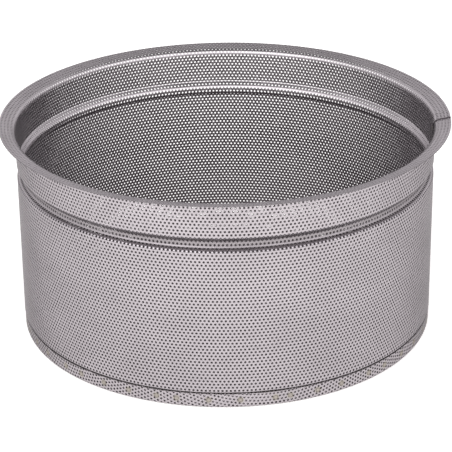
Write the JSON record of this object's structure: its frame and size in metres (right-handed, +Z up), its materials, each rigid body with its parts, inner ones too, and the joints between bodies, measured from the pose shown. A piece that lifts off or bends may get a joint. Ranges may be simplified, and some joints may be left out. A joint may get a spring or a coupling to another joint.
{
  "type": "cheese mold",
  "caption": "Round open-topped cheese mold in perforated stainless sheet, with a flared rim, an inward bead and a shallow spot-welded base pan, for draining and shaping curd",
  "frame": {"origin": "centre of the base pan's underside, on the mold's axis", "axes": "+Z runs up the mold's axis, out of the open mouth; +X points at the side with the lap seam; +Y completes a right-handed frame"},
  "size_m": [0.344, 0.344, 0.1658],
  "materials": {
    "wall_sheet": "cold-rolled stainless sheet, dull satin, perforated all over with 1.5 mm holes",
    "base_sheet": "cold-rolled stainless sheet, dull satin, perforated all over with 1.5 mm holes",
    "weld_nuggets": "spot-weld marks, slightly heat-tinted"
  },
  "bodies": {
    "root": {"side_wall": "wall_sheet", "base_pan": "base_sheet", "base_spot_welds": "weld_nuggets", "seam_spot_welds": "weld_nuggets"}
  },
  "joints": []
}
